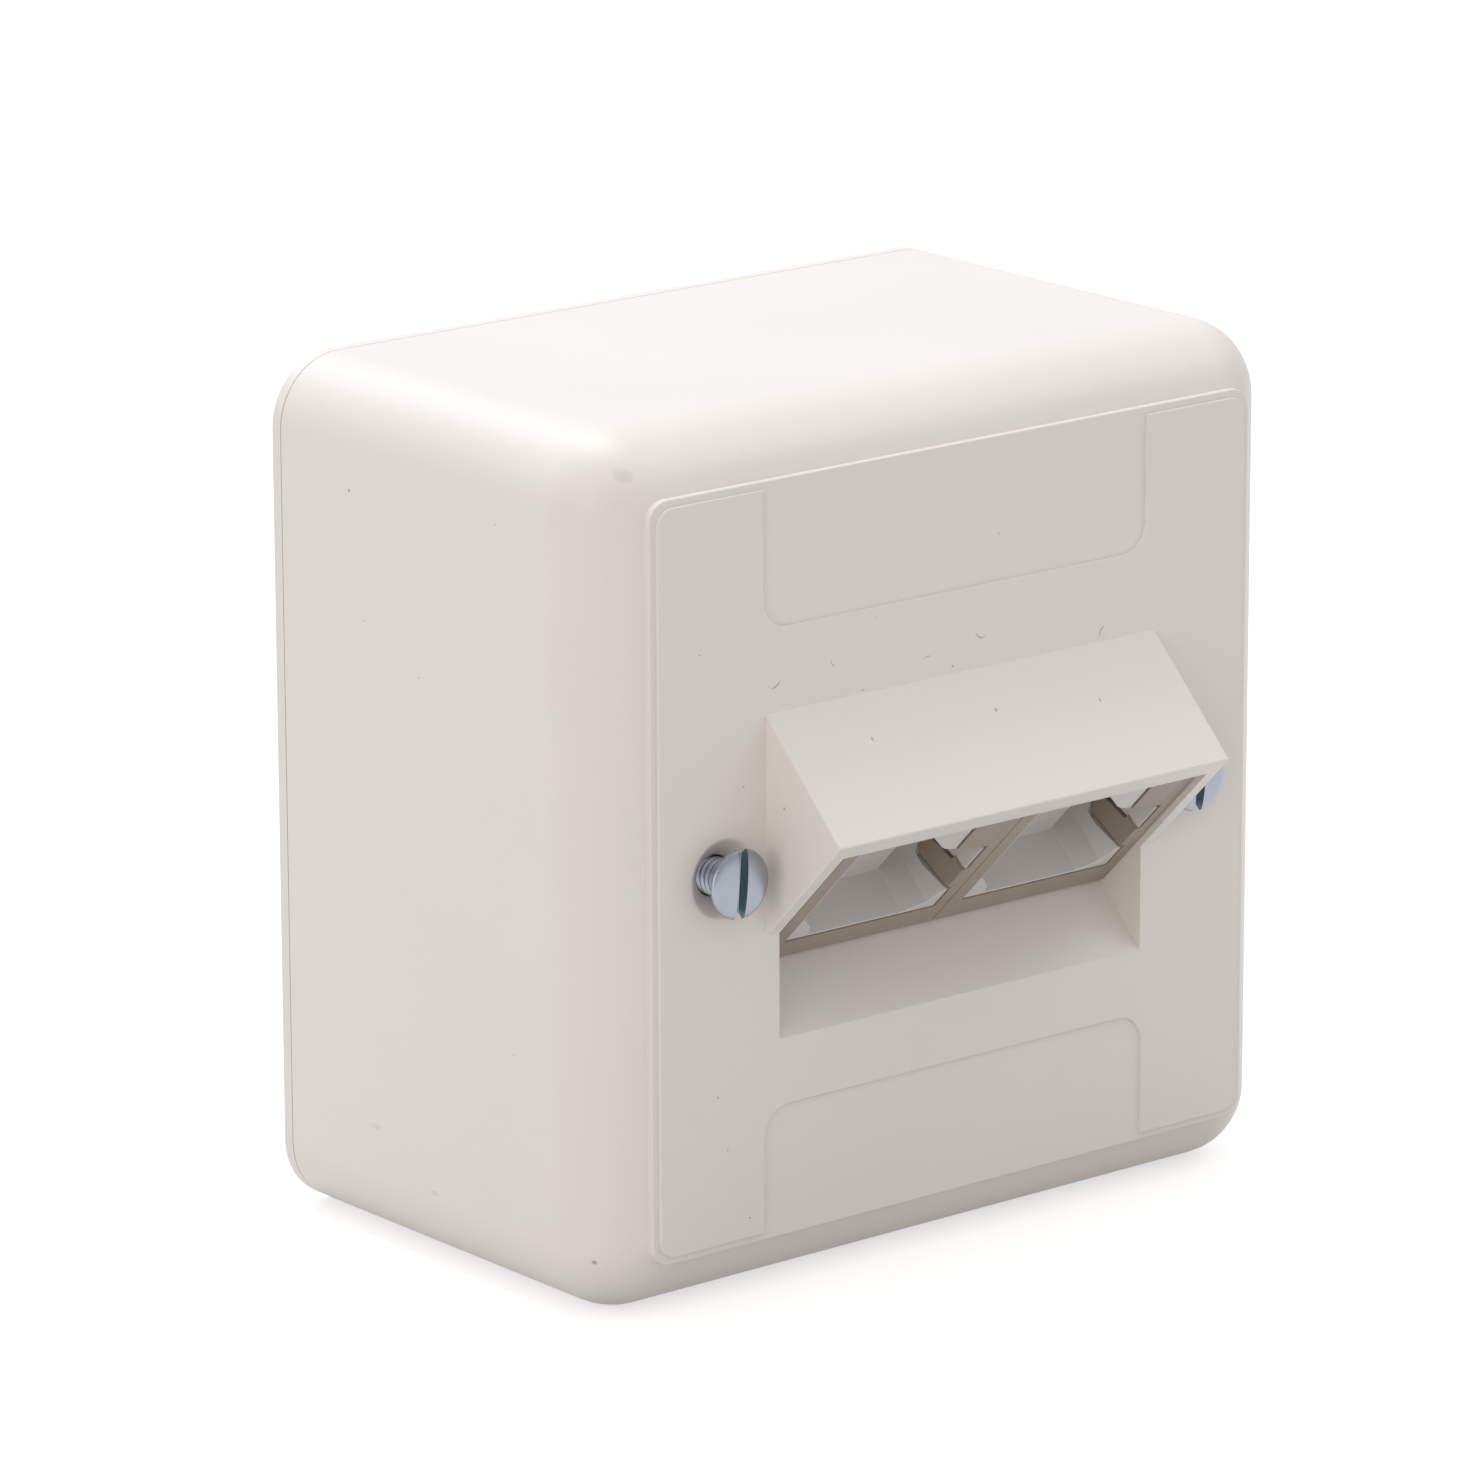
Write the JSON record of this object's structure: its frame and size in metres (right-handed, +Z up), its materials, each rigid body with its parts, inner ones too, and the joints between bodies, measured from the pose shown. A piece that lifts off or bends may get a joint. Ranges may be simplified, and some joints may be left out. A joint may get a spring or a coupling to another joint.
{
  "type": "surface mount jack box",
  "caption": "Square surface mount outlet box with a hooded, slanted double port recess, sunk label fields and slotted cover screws on a flat base plate.",
  "frame": {"origin": "middle of the wall face, where the base plate lies on the wall", "axes": "+X to the right seen from the front, +Y into the wall, +Z up; the ports face -Y and down"},
  "size_m": [0.08, 0.0582, 0.08],
  "materials": {
    "cover_plastic": "satin moulded, cream white",
    "base_plastic": "satin moulded, cream white",
    "frame_plastic": "satin moulded, taupe",
    "insert_plastic": "satin moulded, white",
    "dark_plastic": "moulded, black",
    "zinc_plated_steel": "bright zinc plated, slightly blue",
    "plated_steel": "plated sheet",
    "brass": "turned",
    "contact_metal": "gold plated",
    "cast_metal": "nickel plated die-casting",
    "board": "green solder mask",
    "rubber": "soft, black"
  },
  "bodies": {
    "housing": {"base_plate": "base_plastic", "cable_clamp": "dark_plastic", "carrier_screw_left": "zinc_plated_steel", "carrier_screw_right": "zinc_plated_steel", "circuit_board_left": "board", "circuit_board_right": "board", "clamp_screw_left": "zinc_plated_steel", "clamp_screw_right": "zinc_plated_steel", "contact_block_left": "dark_plastic", "contact_block_right": "dark_plastic", "cover": "cover_plastic", "entry_grommet": "rubber", "idc_block_left": "insert_plastic", "idc_block_right": "insert_plastic", "insert_nut_left": "brass", "insert_nut_right": "brass", "jack_contacts_left": "contact_metal", "jack_contacts_right": "contact_metal", "jack_housing_left": "cast_metal", "jack_housing_right": "cast_metal", "module_carrier": "plated_steel", "port_frame_left": "frame_plastic", "port_frame_right": "frame_plastic", "port_insert_left": "insert_plastic", "port_insert_right": "insert_plastic"},
    "washer_left": {"retaining_washer_left": "dark_plastic"},
    "screw_left": {"cover_screw_left": "zinc_plated_steel"},
    "washer_right": {"retaining_washer_right": "dark_plastic"},
    "screw_right": {"cover_screw_right": "zinc_plated_steel"}
  },
  "joints": [
    {"name": "screw_slide_left", "type": "slide", "parent": "housing", "child": "washer_left", "axis": [0, 1, 0], "range_m": [-0.003, 0.0022]},
    {"name": "screw_turn_left", "type": "hinge", "parent": "washer_left", "child": "screw_left", "pos_m": [-0.02703, -0.0485, -0.00027], "axis": [0, 1, 0], "range_deg": [-1802, 1323]},
    {"name": "screw_slide_right", "type": "slide", "parent": "housing", "child": "washer_right", "axis": [0, 1, 0], "range_m": [-0.003, 0.0022]},
    {"name": "screw_turn_right", "type": "hinge", "parent": "washer_right", "child": "screw_right", "pos_m": [0.02703, -0.0485, -0.00027], "axis": [0, 1, 0], "range_deg": [-1802, 1323]}
  ],
  "couplings": [
    {"joint": "screw_turn_left", "follows": "screw_slide_left", "rad_per_m": 10472},
    {"joint": "screw_turn_right", "follows": "screw_slide_right", "rad_per_m": 10472}
  ]
}
